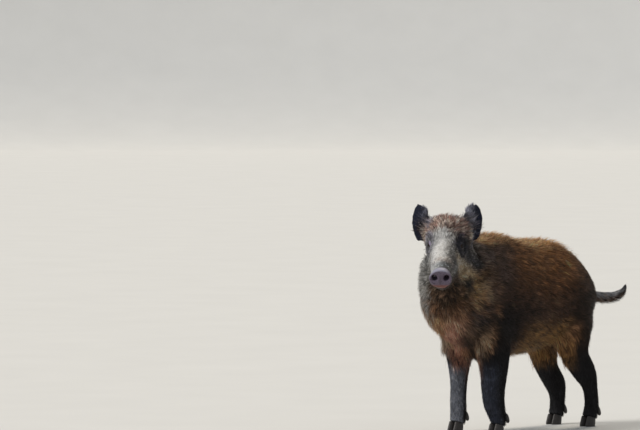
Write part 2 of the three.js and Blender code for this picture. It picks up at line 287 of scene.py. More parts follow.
# The broad parts need fewer faces than the face does, so they are thinned out.
KEEP_FACES = 0.52
fused_points, fused_shares, fused_depth = points, shares, depth
points = points_of(hide.data)
broad = ramp(np.linalg.norm(in_head(points) - (0, 0.1, 0), axis=1), 0.1, 0.17)
group = hide.vertex_groups.new(name="broad")
for tenth in range(1, 11):
    members = np.nonzero(np.round(broad * 10).astype(int) == tenth)[0]
    group.add(members.tolist(), tenth / 10, "REPLACE")
thin = hide.modifiers.new("thin out", "DECIMATE")
thin.ratio = KEEP_FACES
thin.vertex_group = "broad"
thin.use_collapse_triangulate = True
apply_modifiers(hide)
hide.vertex_groups.clear()

edges = edges_of(hide.data)
points = points_of(hide.data)
fused_tree = tree_of(fused_points)
nearest = [fused_tree.find(point)[1] for point in points]
shares = {name: share[nearest] for name, share in fused_shares.items()}
depth = fused_depth[nearest, 0]
smooth = np.zeros(len(points))
for eye in eye_centres:
    smooth = np.maximum(smooth, 0.6 * ramp(np.linalg.norm(points - eye, axis=1), 0.04, 0.03))
smooth = np.maximum(smooth, 0.35 * ramp(np.linalg.norm(points - snout_centre, axis=1), 0.065, 0.055))
points = relaxed(points, edges, smooth, 6)

# Each eye opens as an almond between two lids that stand a little proud of the ball.
EYE_LOOK = (0.8, -0.5, 0.3)  # outwards, back and up, in the head's axes
SLIT_LONG = 0.0104  # half the opening's length
SLIT_RISE = {"upper": 0.0062, "lower": 0.0047}  # how far each lid's edge is from the middle
LID = 0.0013
LID_ROLL = 0.0012  # the swelling just outside the lid's edge
LID_CREASE = 0.0016  # the fold above it
ORBIT_LEVEL = 0.78  # the hide round the eye stands this far out, in eyeball radii
ORBIT_SPREAD = 0.026


def eye_frame(side):
    """The way an eye looks, the line of its corners and the line across its lids."""
    look = unit(across * side * EYE_LOOK[0] + back * EYE_LOOK[1] + up * EYE_LOOK[2])
    along = back + up * 0.28
    along = unit(along - look * (along @ look))
    rise = np.cross(look, along) * side
    return look, along, rise if rise @ up > 0 else -rise


for side, eye in zip((1, -1), eye_centres):
    look, along, rise = eye_frame(side)
    rel = points - eye
    spread = np.hypot(rel @ along, rel @ rise)
    facing = (rel @ look > -0.03) & (np.linalg.norm(rel, axis=1) < 0.07)
    ring = facing & (spread > 0.012) & (spread < 0.02)
    swelling = ORBIT_LEVEL * EYE_RADIUS - (rel @ look)[ring].mean()
    rel += look * (swelling * hump(spread, 0, ORBIT_SPREAD) * facing)[:, None]
    points = eye + rel
    a, b, c = rel @ along, rel @ rise, rel @ look
    far = np.linalg.norm(rel, axis=1)
    height = np.where(b > 0, SLIT_RISE["upper"], SLIT_RISE["lower"])
    opening = np.abs(b) / height + (a / SLIT_LONG) ** 2  # 1 along the lids' edges
    lid = EYE_RADIUS + LID + LID_ROLL * hump(opening, 1.5, 0.5)
    lid -= LID_CREASE * hump(opening, 3.0, 0.7) * (b > 0)
    target = np.where(opening < 1, EYE_RADIUS * 0.86, lid)
    weight = ramp(np.hypot(a, b), 0.0145, 0.009) * (c > 0) * (far < 0.04)
    points += (weight * (target / np.maximum(far, 1e-6) - 1))[:, None] * rel

# The disc of the snout has two round nostrils and a raised rim. The mouth is a long groove low on
# each side of the muzzle, and the hide behind the disc lies in shallow wrinkles.
DISC_RIM = 0.0012
NOSTRIL_DEPTH = 0.013
NOSTRIL_SIZE = 0.0098
DISC_HALF = (0.036, 0.028)  # half the disc's width and height
MOUTH_END = 0.112
GROOVE = 0.0032
LIP = 0.0012
WRINKLE = 0.00035
to_left, behind, above = in_head(points).T
front = ramp(behind, 0.01, 0.003)
push = np.zeros(len(points))
for side in (1, -1):
    over = (to_left * side - NOSTRIL[0]) / NOSTRIL_SIZE
    raised = (above - NOSTRIL[1] - 0.0016 * over) / NOSTRIL_SIZE
    push += NOSTRIL_DEPTH * ramp(np.hypot(over, raised), 1.05, 0.55)
reach = np.hypot(to_left / DISC_HALF[0], (above - 0.001) / DISC_HALF[1])
push -= DISC_RIM * hump(reach, 0.88, 0.1) * front
points += back * (push * front)[:, None]
mouth_line = -0.03 - 0.18 * behind
groove = hump(above, mouth_line, 0.0028) * ramp(behind, 0.004, 0.012)
groove *= ramp(behind, MOUTH_END, MOUTH_END - 0.02)
groove *= ramp(np.abs(to_left), 0.01, 0.016)
lip = hump(above, mouth_line + 0.006, 0.004) * ramp(behind, 0.01, 0.02)
lip *= ramp(behind, MOUTH_END, MOUTH_END - 0.03)
wrinkle = np.sin(behind / 0.0016 + np.abs(to_left) / 0.01) * ramp(behind, 0.012, 0.022)
wrinkle *= ramp(behind, 0.075, 0.045) * ramp(above, -0.005, 0.01)
points += normals_of(hide.data) * (LIP * lip - GROOVE * groove + WRINKLE * wrinkle)[:, None]
set_points(hide.data, points)

# The lie of the coat: back and down over the body, down the legs, back from the snout over the
# face, out along the ears and the tail.
MIDLINE = (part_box("fore_leg_left")[0].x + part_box("fore_leg_right")[1].x) / 2
normals = soft_normals(hide.data, edges, 4)
x, y, z = points.T
to_left, behind, above = in_head(points).T
facing_back, facing_up = normals[:, 1], normals[:, 2]
trunk, neck, legs, ears, tail = (shares[name] for name in ("trunk", "neck", "legs", "ears", "tail"))
head = shares["head"] + shares["snout"]


def ear_axis(name):
    """From the middle of an ear's root to its tip."""
    spots = points_of(nodes[name].data)
    tip = spots[spots[:, 2].argmax()]
    root = spots[spots[:, 2] < np.quantile(spots[:, 2], 0.25)].mean(0)
    return root, tip


def rows(*parts):
    return np.stack(np.broadcast_arrays(*parts), 1)


forward = ramp(facing_back, -0.15, -0.75)
sideways = (x - MIDLINE) / 0.1
lie = trunk[:, None] * rows(0.25 * sideways, 1, -0.4 - 0.8 * forward)
lie += neck[:, None] * rows(0.2 * sideways, 1 - 0.7 * forward, -0.55 - 0.6 * forward)
flare = 0.45 + 0.8 * ramp(behind, 0.19, 0.25) * ramp(above, -0.01, 0.04)
fan = np.outer(to_left / 0.05 * flare, across)
droop = np.outer(0.55 * ramp(above, 0.02, -0.08), up)
lie += head[:, None] * (back + fan - droop)
lie += legs[:, None] * np.array((0, 0.22, -1))
tail_low, tail_high = (np.array(corner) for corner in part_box("tail"))
tail_run = (y - tail_low[1]) / (tail_high[1] - tail_low[1])
tail_curl = rows(0.55 * ramp(tail_run, 0.2, 0.9), 1, -0.35 + 1.3 * ramp(tail_run, 0.3, 1.0))
lie += tail[:, None] * tail_curl
for name in EARS:
    root, tip = ear_axis(name)
    lie += shares[name][:, None] * unit(tip - root)
near_eye = np.zeros(len(points))
for eye in eye_centres:
    away = points - eye
    close = ramp(np.linalg.norm(away, axis=1), 0.045, 0.018)
    lie += 2.0 * close[:, None] * unit(away)
    near_eye = np.maximum(near_eye, close)
lie = relaxed(lie, edges, np.full(len(points), 0.6), 12)
lie = unit(lie - normals * (lie * normals).sum(1)[:, None])

# The markings. A hair has a root colour and a tip colour, and some hairs are bleached like straw.
# All of them are linear colours. A mask runs over lengths in metres: x to the left, y to the rear
# and z up on the body, and to_left, behind and above in the head's own axes.
SOOT = (0.007, 0.0065, 0.0085)
DARK = (0.018, 0.012, 0.009)
EARTH = (0.082, 0.051, 0.039)
RUST = (0.215, 0.096, 0.039)
TAN = (0.34, 0.2, 0.085)
SAND = (0.34, 0.23, 0.13)
SLATE = (0.21, 0.22, 0.26)
SILVER = (0.7, 0.68, 0.66)


def mottle(points, size, seed):
    """Soft patches of about this size, mostly between -1 and 1, from waves in random directions."""
    rng = np.random.default_rng(seed)
    total = np.zeros(len(points))
    for _ in range(6):
        wave = unit(rng.normal(size=3)) * math.tau / (size * rng.uniform(1.5, 3.0))
        total += np.sin(points @ wave + rng.uniform(0, math.tau))
    return total / 3


def tint(colours, colour, mask):
    colours += np.clip(mask, 0, 1)[:, None] * (np.array(colour) - colours)


off_middle = np.abs(x - MIDLINE)
flank = np.abs(to_left)
patch = mottle(points, 0.06, 3)
fine = mottle(points, 0.014, 4)
tips = np.tile(RUST, (len(points), 1))
roots = np.tile(DARK, (len(points), 1))
straw = np.tile(SAND, (len(points), 1))
pale = 0.03 + np.zeros(len(points))

# Body: rusty above and behind, sooty at the elbow, golden along the belly, and golden along the ridge,
# where the hair's tan is brightened by painted rim light.
AMBER = (0.46, 0.215, 0.085)
UMBER = (0.105, 0.083, 0.08)
GRIZZLE = (0.12, 0.096, 0.09)
RIDGE_GOLD_AND_GLOW = (0.9, 0.46, 0.19)
RIDGE_STRAW_AND_GLOW = (1.0, 0.64, 0.37)
BELLY_GOLD = (0.44, 0.24, 0.09)
tint(tips, AMBER, trunk * ramp(facing_up, 0.1, 0.6) * ramp(y, -0.1, 0.02) * (0.9 + 0.3 * patch))
tint(tips, EARTH, 0.5 * trunk * ramp(y, 0.16, -0.08) + 0.2 * patch)
tint(tips, EARTH, 0.8 * trunk * ramp(z, 0.5, 0.36))
tint(tips, EARTH, 0.85 * trunk * ramp(y, 0.2, 0.3))
tint(tips, UMBER, 0.9 * neck * ramp(facing_back, -0.8, 0.0))
tint(tips, GRIZZLE, 0.7 * trunk * ramp(y, 0.0, -0.14) * ramp(z, 0.4, 0.5))
# Along the ridge the gold is partly the hair's own tan and partly painted rim light from behind.
ridge = ramp(facing_up, 0.78, 0.98) * (trunk + neck) * ramp(y, 0.34, 0.2) * (0.85 + 0.25 * patch)
tint(tips, RIDGE_GOLD_AND_GLOW, ridge)
tint(straw, RIDGE_STRAW_AND_GLOW, ridge)
pale += 0.32 * ridge
elbow = ramp(z, 0.49, 0.36) * hump(y, -0.1, 0.12) * ramp(off_middle, 0.05, 0.08)
tint(tips, SOOT, 0.97 * elbow * (trunk + neck + legs))
thigh = ramp(z, 0.52, 0.4) * ramp(y, 0.14, 0.24) * ramp(off_middle, 0.03, 0.07)
tint(tips, DARK, 0.7 * thigh * (trunk + legs))
belly = ramp(facing_up, -0.05, -0.6) * ramp(z, 0.4, 0.33)
belly = belly * ramp(y, -0.05, 0.04) * ramp(y, 0.27, 0.19)
tint(tips, BELLY_GOLD, 0.9 * belly * (trunk + legs))
pale += 0.15 * belly
pale *= 1 - 0.8 * np.maximum(elbow, thigh)

# Chest: a ruddy stripe down the throat between shaggy buff tufts, with a dark gap on its left.
CHEST = (0.62, 0.33, 0.17)
CHEST_ROOT = (0.085, 0.045, 0.03)
BUFF = (0.66, 0.48, 0.33)
PALE_BUFF_AND_LIGHT = (0.62, 0.56, 0.46)
STRIPE = (0.72, 0.32, 0.23)
STRIPE_ROOT = (0.11, 0.042, 0.033)
chest = ramp(facing_back, -0.1, -0.6) * ramp(z, 0.16, 0.24) * (neck + trunk + legs)
chest *= 1 - 0.95 * ramp(x, 0.028, 0.044) * ramp(z, 0.4, 0.34) * ramp(y, 0.0, -0.06)
tint(tips, CHEST, 0.9 * chest * ramp(z, 0.56, 0.44))
tint(roots, CHEST_ROOT, chest)
tufts = chest * (hump(x, -0.155, 0.035) + hump(x, 0.014, 0.02))
tufts = tufts * ramp(z, 0.22, 0.27) * ramp(z, 0.42, 0.36)
tufts *= ramp(y, 0.0, -0.06)
tint(tips, BUFF, 0.85 * tufts)
# The right tuft is paler: partly its own buff and partly painted light, on the side the key light falls
# on.
tint(tips, PALE_BUFF_AND_LIGHT, 0.5 * tufts * ramp(x, -0.08, -0.12))
pale += 0.3 * tufts + 0.05 * neck
gap = ramp(y, -0.02, -0.08) * hump(x, -0.045 + 0.6 * np.maximum(z - 0.265, 0), 0.028)
gap *= (neck + trunk + legs) * ramp(z, 0.37, 0.325) * ramp(facing_back, 0.5, 0.0)
tint(tips, DARK, 0.95 * gap)
tint(roots, DARK, gap)
pale *= 1 - 0.8 * gap
stripe = chest * hump(x, -0.11 + 1.2 * np.maximum(z - 0.272, 0), 0.026) * ramp(z, 0.42, 0.35)
stripe *= ramp(y, -0.08, -0.12)
tint(tips, STRIPE, stripe)
tint(roots, STRIPE_ROOT, stripe)
tint(straw, SAND, (head + neck) * ramp(to_left, -0.04, -0.01) * ramp(above, -0.04, -0.08))

# Legs: black, with a ruddy or golden top on the inner side, and fronts of slate-grey hair under a painted
# blue-grey sky sheen.
RUDDY = (0.38, 0.18, 0.125)
FORELEG_SKY_SHEEN = (0.03, 0.04, 0.08)
THIGH_GOLD = (0.62, 0.32, 0.11)
HOAR_AND_SHEEN = (0.36, 0.385, 0.46)
HOAR_ROOT = (0.12, 0.125, 0.15)
hind = ramp(y, 0.05, 0.15)
sock = ramp(z, 0.36, 0.24) * (1 - hind) + ramp(z, 0.33, 0.2) * hind
inner = ramp(off_middle, 0.085, 0.065)
tint(tips, SOOT, 0.97 * legs * sock)
tint(roots, SOOT, legs * sock)
# A painted blue sky sheen down the fronts of the fore legs' lower parts.
tint(tips, FORELEG_SKY_SHEEN, legs * (1 - hind) * ramp(facing_back, 0.1, -0.5) * ramp(z, 0.24, 0.19))
tint(tips, RUDDY, 0.85 * legs * (1 - hind) * inner * ramp(z, 0.14, 0.22) * (1 - gap))
thigh_front = inner + ramp(facing_back, -0.2, -0.7)
tint(tips, THIGH_GOLD, 0.85 * legs * hind * thigh_front * ramp(z, 0.17, 0.25))
right_fore = ramp(x, -0.03, -0.07) * (1 - hind)
# Slate-grey fronts: partly hair and partly painted sky sheen, strongest on the right fore leg, which faces
# the key light.
grey_front_and_sheen = ramp(facing_back, 0.3, -0.4) * ramp(z, 0.24, 0.17) * (0.15 + 0.85 * right_fore)
tint(tips, HOAR_AND_SHEEN, 0.95 * legs * grey_front_and_sheen * (1 - 0.6 * hind))
tint(roots, HOAR_ROOT, legs * right_fore * grey_front_and_sheen)
pale += 0.15 * legs * right_fore * grey_front_and_sheen
tint(straw, SLATE, legs * sock)
pale *= 1 - 0.6 * legs * sock

# Head: a bristling ruddy crown over a white brow that narrows to a blaze down the nose.
FACE = (0.075, 0.07, 0.072)
MUZZLE_WHITE_AND_LIGHT = (0.82, 0.82, 0.82)
MUZZLE_ROOT = (0.38, 0.38, 0.39)
CROWN = (0.58, 0.4, 0.35)
CROWN_RED = (0.28, 0.125, 0.1)
CROWN_STRAW = (0.9, 0.74, 0.62)
TEMPLE = (0.85, 0.74, 0.56)
TEMPLE_ROOT = (0.24, 0.2, 0.14)
# The head's right side faces the key light. The paler hair painted on its muzzle, cheek, jaw and round its
# eye is partly painted light.
right = ramp(to_left, 0.012, -0.012)
tint(roots, DARK, head)
tint(straw, SILVER, head)
tint(tips, FACE, head)
pale += 0.16 * head
# White hair on the lower muzzle, on the right side only: partly the hair's colour and partly painted
# light.
muzzle = head * ramp(behind, 0.24, 0.17) * ramp(above, -0.07, -0.045) * right
tint(tips, MUZZLE_WHITE_AND_LIGHT, 0.95 * muzzle)
tint(roots, MUZZLE_ROOT, muzzle)
pale += 0.15 * muzzle
crown = head * ramp(behind + 0.25 * above, 0.195, 0.225) * ramp(above, 0.0, 0.04)
tint(tips, CROWN, crown)
tint(tips, CROWN_RED, 0.9 * crown * ramp(fine, -0.4, 0.3))
tint(straw, CROWN_STRAW, crown)
pale += 0.12 * crown
temple = crown * ramp(flank, 0.046, 0.06)
tint(tips, TEMPLE, 0.9 * temple)
tint(roots, TEMPLE_ROOT, temple)

# Cheeks: golden on the left and ashen on the right, the ash partly painted light on the side the key light
# falls on, with a sooty edge behind.
CHEEK = (0.95, 0.76, 0.54)
CHEEK_GOLD = (0.92, 0.62, 0.33)
CHEEK_ROOT = (0.15, 0.11, 0.075)
CHEEK_STRAW = (1.0, 0.76, 0.49)
CHEEK_EDGE = (0.03, 0.033, 0.042)
ASH_AND_LIGHT = (0.44, 0.43, 0.41)
cheek = hump(above, -0.045 - 0.95 * (behind - 0.18), 0.032) * ramp(flank, 0.028, 0.042)
cheek *= (head + neck) * ramp(behind, 0.1, 0.14) * ramp(behind, 0.29, 0.25)
tint(tips, CHEEK, 0.95 * cheek * (1 - 0.7 * right))
tint(tips, CHEEK_GOLD, 0.9 * cheek * ramp(above, -0.015, -0.04) * (1 - right))
tint(roots, CHEEK_ROOT, cheek)
# Ashen right cheek: partly the hair's colour and partly painted light.
tint(tips, ASH_AND_LIGHT, 0.7 * cheek * right)
tint(straw, CHEEK_STRAW, cheek * (1 - right))
pale += 0.3 * cheek * (1 - 0.5 * right)
cheek_edge = hump(behind, 0.236 - 0.45 * above, 0.026) * ramp(above, 0.05, 0.02)
cheek_edge *= head * ramp(above, -0.12, -0.09) * ramp(flank, 0.03, 0.05)
tint(tips, CHEEK_EDGE, 0.9 * cheek_edge)
pale *= 1 - 0.75 * cheek_edge

# Jaw: brown, golden on the left jowl, darkened by painted shade under the jaw and at the corner of the
# mouth on the left, and ashen on the right, partly painted light.
JAW = (0.2, 0.115, 0.06)
JAW_UNDER = (0.52, 0.26, 0.13)
JOWL = (0.76, 0.46, 0.21)
JOWL_ROOT = (0.1, 0.06, 0.03)
JAW_SHADE = (0.075, 0.053, 0.033)
CHIN = (0.08, 0.05, 0.034)
ASHEN_AND_LIGHT = (0.52, 0.52, 0.5)
ASHEN_ROOT = (0.06, 0.057, 0.053)
jaw = head * ramp(above, -0.07, -0.1)
tint(tips, JAW, 0.9 * jaw)
tint(tips, JAW_UNDER, 0.9 * jaw * ramp(above, -0.125, -0.15))
tint(roots, DARK, jaw)
tint(straw, TAN, jaw * (1 - right))
jowl = (head + neck) * ramp(behind, 0.17, 0.21) * ramp(behind, 0.26, 0.225)
jowl = jowl * ramp(to_left, 0.055, 0.072)
jowl *= ramp(above, -0.08, -0.11) * ramp(above, -0.19, -0.14)
tint(tips, JOWL, 0.85 * jowl)
tint(roots, JOWL_ROOT, jowl)
# Painted shade under the left side of the jaw.
jaw_underside_shade = head * ramp(to_left, 0.03, 0.045) * ramp(to_left, 0.08, 0.066)
jaw_underside_shade = jaw_underside_shade * hump(above, -0.125, 0.032)
tint(tips, JAW_SHADE, 0.9 * jaw_underside_shade)
tint(roots, SOOT, 0.6 * jaw_underside_shade)
pale *= 1 - 0.8 * jaw_underside_shade
# Painted shade in the left corner of the mouth.
corner = hump(behind, 0.19, 0.034) * hump(above, -0.09, 0.022) * ramp(to_left, 0.03, 0.05)
tint(tips, SOOT, head * corner)
tint(roots, SOOT, head * corner)
pale *= 1 - 0.8 * head * corner
chin = head * ramp(above, -0.018, -0.034) * ramp(behind, 0.2, 0.15) * ramp(flank, 0.05, 0.03)
tint(tips, CHIN, 0.9 * chin)
tint(roots, DARK, chin)
tint(straw, TAN, chin)
pale *= 1 - 0.8 * chin
# Ashen hair low on the right of the head and neck: partly its own grey and partly painted light on the
# side the key light falls on.
ashen = (head + 0.6 * neck) * ramp(above, 0.0, -0.04) * ramp(behind, 0.32, 0.2)
ashen = ashen * ramp(to_left, -0.036, -0.06)
tint(tips, ASHEN_AND_LIGHT, ashen * (0.65 + 0.35 * fine))
tint(roots, ASHEN_ROOT, ashen)
tint(straw, SILVER, ashen)
pale += 0.2 * ashen

# Nose: the blaze, dark down its left side, partly hair and partly painted shade, and a painted blue-grey
# shade above the disc.
NOSE_SIDE = (0.04, 0.044, 0.055)
BLAZE = (0.95, 0.93, 0.91)
BLAZE_ROOT = (0.66, 0.65, 0.64)
BLAZE_STRAW = (0.98, 0.96, 0.93)
NOSE_STREAK = (0.5, 0.5, 0.49)
NOSE_WARM = (0.5, 0.4, 0.35)
NOSE_TOP_SHADE = (0.16, 0.19, 0.22)
# Dark hair down the left side of the nose, deepened by painted shade on the side away from the key light.
nose_side = hump(behind, 0.09, 0.08) * hump(to_left, 0.03, 0.015) * ramp(above, -0.005, 0.015)
tint(tips, NOSE_SIDE, 0.9 * head * nose_side)
pale *= 1 - 0.6 * head * nose_side
blaze_width = 0.022 + 0.1 * np.maximum(behind - 0.12, 0)
blaze = head * hump(to_left, -0.012, blaze_width)
blaze = blaze * ramp(behind, 0.06, 0.085) * ramp(behind, 0.214, 0.187)
blaze *= ramp(above, 0.0, 0.02) * (0.95 + 0.25 * fine)
tint(tips, BLAZE, 1.15 * blaze)
tint(roots, BLAZE_ROOT, blaze)
tint(straw, BLAZE_STRAW, blaze)
pale += 0.4 * blaze
nose_streak = hump(above, -0.01, 0.012) * hump(behind, 0.115, 0.045) * ramp(to_left, 0.025, 0.033)
tint(tips, NOSE_STREAK, 0.8 * head * nose_streak)
# Above the disc the short hair is painted a cool blue-grey shade; further back it turns warm.
nose_top = head * hump(to_left, -0.005, 0.026) * ramp(behind, 0.095, 0.08) * ramp(above, 0.0, 0.02)
tint(tips, NOSE_WARM, nose_top * ramp(behind, 0.05, 0.075))
tint(tips, NOSE_TOP_SHADE, nose_top * ramp(behind, 0.07, 0.045))
pale *= 1 - 0.7 * nose_top

# Round the eyes: a dark patch, deepened by painted shade on the left and lightened to lilac-grey by
# painted light on the right.
EYE_SHADE = (0.02, 0.019, 0.032)
EYE_LIT_LILAC = (0.3, 0.29, 0.35)
from_eye = np.hypot((behind - 0.194) / 0.048, (above - 0.026) / 0.036)
eye_patch = head * ramp(from_eye, 1.2, 0.8) * ramp(flank, 0.028, 0.04)
tint(tips, EYE_LIT_LILAC, eye_patch * right)
tint(tips, EYE_SHADE, 0.95 * eye_patch * (1 - 0.75 * right))
tint(roots, SOOT, eye_patch * (1 - 0.5 * right))
pale *= 1 - 0.92 * eye_patch

# Ears: blue-black, silvered towards the crown and at the tip. Tail: slate above, partly painted light from
# above, and black below.
NAVY = (0.014, 0.017, 0.036)
EAR_STRAW = (0.42, 0.42, 0.5)
FROST = (0.47, 0.48, 0.6)
FROST_ROOT = (0.16, 0.16, 0.19)
TAIL_TOP_LIGHT = (0.34, 0.345, 0.37)
TAIL_ROOT = (0.12, 0.12, 0.13)
dark_ear = ramp(ears, 0.15, 0.6)
tint(tips, NAVY, dark_ear)
tint(roots, NAVY, dark_ear)
tint(straw, EAR_STRAW, dark_ear)
pale *= 1 - 0.8 * dark_ear
frost = dark_ear * (ramp(flank, 0.085, 0.062) + 0.7 * ramp(above, 0.135, 0.165)) * (1 - 0.6 * right)
tint(tips, FROST, 0.9 * frost)
tint(roots, FROST_ROOT, 0.8 * frost)
pale += 0.4 * frost
tint(tips, TAIL_TOP_LIGHT, 0.95 * tail * ramp(facing_up, -0.5, 0.2))
tint(roots, TAIL_ROOT, tail * ramp(facing_up, -0.5, 0.2))
tint(tips, SOOT, tail * ramp(facing_up, -0.2, -0.8))
tint(tips, SOOT, tail * ramp(y, 0.48, 0.5))
pale = np.clip(pale, 0, 0.9)

# Bare places: the disc of the snout, with a painted lilac highlight along its upper rim and ruddy at the
# lower lip, and the eyes' rims, with a painted pale glint on the right upper lid.
bare_back = behind - 0.25 * np.maximum(above, 0) - 0.32 * np.maximum(to_left, 0)
bare = ramp(bare_back, 0.016, 0.007) * head
NOSE = (0.112, 0.086, 0.125)
NOSE_FRECKLE_AND_SHADE = (0.045, 0.034, 0.046)
NOSE_RIM_HIGHLIGHT = (0.3, 0.3, 0.38)
NOSE_LIP = (0.165, 0.058, 0.042)
NOSTRIL_FLESH_AND_SHADE = (0.02, 0.006, 0.008)
NOSTRIL_FLOOR_LIGHT = (0.085, 0.07, 0.1)
LID_DARK = (0.012, 0.01, 0.014)
UPPER_LID_GLINT = {1: (0.016, 0.015, 0.022), -1: (0.19, 0.165, 0.23)}
# Under the coat the hide takes a darkened mix of the hair's root and tip colours, as painted shade from
# the coat over it.
hide_colour = 0.55 * roots + 0.3 * tips
tint(hide_colour, NOSE, bare)
# Dark freckles over the disc are its own colour.
freckles = 0.6 * mottle(points, 0.003, 8) + 0.6 * mottle(points, 0.0016, 9)
tint(hide_colour, NOSE_FRECKLE_AND_SHADE, bare * ramp(freckles, -0.3, 1.2))
# Painted shade down the middle of the disc, for the groove between the nostrils.
parting = hump(to_left, 0, 0.0035) * ramp(above, -0.022, -0.01) * ramp(above, 0.022, 0.01)
tint(hide_colour, NOSE_FRECKLE_AND_SHADE, 0.5 * bare * parting)
# A painted lilac-blue highlight along the disc's upper rim, strongest on its right, where the key light
# falls.
disc_rim_highlight = bare * ramp(reach, 0.75, 1.0) * ramp(above - 0.25 * to_left, 0.004, 0.024)
tint(hide_colour, NOSE_RIM_HIGHLIGHT, 0.8 * disc_rim_highlight)
tint(hide_colour, NOSE_LIP, 0.9 * bare * ramp(above, -0.016, -0.024))
# Inside the nostrils the dark flesh is painted near black, as painted shade in the deep pits, and their
# lower floors lighter, as painted light.
in_nostril = ramp(push, 0.002, 0.006) * front
tint(hide_colour, NOSTRIL_FLESH_AND_SHADE, in_nostril)
tint(hide_colour, NOSTRIL_FLOOR_LIGHT, 0.8 * in_nostril * ramp(above - NOSTRIL[1], 0.001, -0.006))
for side, eye in zip((1, -1), eye_centres):
    look, along, rise = eye_frame(side)
    from_ball = np.linalg.norm(points - eye, axis=1)
    lids = ramp(from_ball, 0.019, 0.015)
    tint(hide_colour, LID_DARK, lids)
    # A painted pale lilac glint on the right eye's upper lid; on the left eye the lid stays dark.
    tint(hide_colour, UPPER_LID_GLINT[side], lids * ramp((points - eye) @ rise, 0.0055, 0.0075))
    bare = np.maximum(bare, 0.98 * ramp(from_ball, 0.0155, 0.0135))


def paint(mesh, name, colours):
    layer = mesh.color_attributes.new(name, "FLOAT_COLOR", "POINT")
    layer.data.foreach_set("color", np.c_[colours, np.ones(len(colours))].astype(np.float32).ravel())


paint(hide.data, "markings", hide_colour)
paint(hide.data, "bare", np.repeat(bare[:, None], 3, 1))


def new_material(name):
    material = bpy.data.materials.new(name)
    material.use_nodes = True
    tree = material.node_tree
    return material, tree, tree.nodes["Principled BSDF"]


def noise(tree, scale, detail=4.0):
    place = tree.nodes.new("ShaderNodeTexCoord")
    texture = tree.nodes.new("ShaderNodeTexNoise")
    texture.inputs["Scale"].default_value = scale
    texture.inputs["Detail"].default_value = detail
    tree.links.new(place.outputs["Object"], texture.inputs["Vector"])
    return texture


def attribute(tree, name):
    node = tree.nodes.new("ShaderNodeAttribute")
    node.attribute_name = name
    return node


def shade(tree, colour, factor, low, high):
    """The colour times a value that runs from low to high with the factor."""
    span = tree.nodes.new("ShaderNodeMapRange")
    span.inputs["To Min"].default_value = low
    span.inputs["To Max"].default_value = high
    tree.links.new(factor, span.inputs["Value"])
    mix = tree.nodes.new("ShaderNodeVectorMath")
    mix.operation = "SCALE"
    tree.links.new(colour, mix.inputs[0])
    tree.links.new(span.outputs["Result"], mix.inputs["Scale"])
    return mix.outputs["Vector"]


def bump(tree, shader, height, distance, strength=1.0):
    node = tree.nodes.new("ShaderNodeBump")
    node.inputs["Distance"].default_value = distance
    node.inputs["Strength"].default_value = strength
    tree.links.new(height, node.inputs["Height"])
    tree.links.new(node.outputs["Normal"], shader.inputs["Normal"])


hide_skin, tree, shader = new_material("hide")
grain = noise(tree, 900, 6)
colour = shade(tree, attribute(tree, "markings").outputs["Color"], grain.outputs["Fac"], 0.6, 1.4)
tree.links.new(colour, shader.inputs["Base Color"])
moist = tree.nodes.new("ShaderNodeMapRange")
moist.inputs["To Min"].default_value = 0.75
moist.inputs["To Max"].default_value = 0.36
tree.links.new(attribute(tree, "bare").outputs["Fac"], moist.inputs["Value"])
tree.links.new(moist.outputs["Result"], shader.inputs["Roughness"])
shader.inputs["Specular IOR Level"].default_value = 0.3
bump(tree, shader, grain.outputs["Fac"], 0.0008)
hide.data.materials.clear()
hide.data.materials.append(hide_skin)
hide.data.shade_smooth()
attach(hide, "root")
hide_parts(*FLESH)

# ---- Eyes ----
# The eyeballs are moist, nearly black-brown balls with a round pupil; each sits in its socket
# behind the lids, and its clear front bulges a little.

IRIS = 0.0068
PUPIL = 0.003
CORNEA = 0.0005
BALL_BROWN = (0.02, 0.013, 0.011)
IRIS_BROWN = (0.022, 0.011, 0.006)
PUPIL_BLACK = (0.004, 0.003, 0.003)

eye_gloss, tree, shader = new_material("eye")
tree.links.new(attribute(tree, "iris").outputs["Color"], shader.inputs["Base Color"])
shader.inputs["Roughness"].default_value = 0.06
shader.inputs["Specular IOR Level"].default_value = 0.16

for side, name, eye in zip((1, -1), EYES, eye_centres):
    bm = bmesh.new()
    bmesh.ops.create_uvsphere(bm, u_segments=48, v_segments=36, radius=EYE_RADIUS)
    look = Vector(eye_frame(side)[0])
    bmesh.ops.rotate(bm, verts=bm.verts, matrix=look.to_track_quat("Z", "Y").to_matrix())
    bmesh.ops.translate(bm, verts=bm.verts, vec=eye)
    ball = add_object(name.replace("eye", "eyeball"), mesh_of(bm, name + "_ball"))
    spots = points_of(ball.data) - eye
    look = np.array(look)
    off_axis = np.linalg.norm(spots - np.outer(spots @ look, look), axis=1)
    off_axis = np.where(spots @ look > 0, off_axis, EYE_RADIUS)
    spots *= (1 + CORNEA / EYE_RADIUS * ramp(off_axis, IRIS * 1.1, 0))[:, None]
    set_points(ball.data, spots + eye)
    colours = np.tile(BALL_BROWN, (len(spots), 1))
    tint(colours, IRIS_BROWN, ramp(off_axis, IRIS * 1.05, IRIS * 0.95))
    tint(colours, PUPIL_BLACK, ramp(off_axis, PUPIL * 1.15, PUPIL * 0.9))
    paint(ball.data, "iris", colours)
    ball.data.materials.append(eye_gloss)
    ball.data.shade_smooth()
    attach(ball, "root")
    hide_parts(name)

# ---- Hooves ----
# Each foot ends in two claws of grey-black horn that carry the weight, and two small dewclaws
# behind. They grow in rings from the skin and wear flat below.

CLAW_VOXEL = 0.0016
SOLE = 0.0025  # what lies lower than this is worn flat
HORN = (0.03, 0.026, 0.025, 1)
CLAWS = sorted(name for name in nodes if "claw" in name)

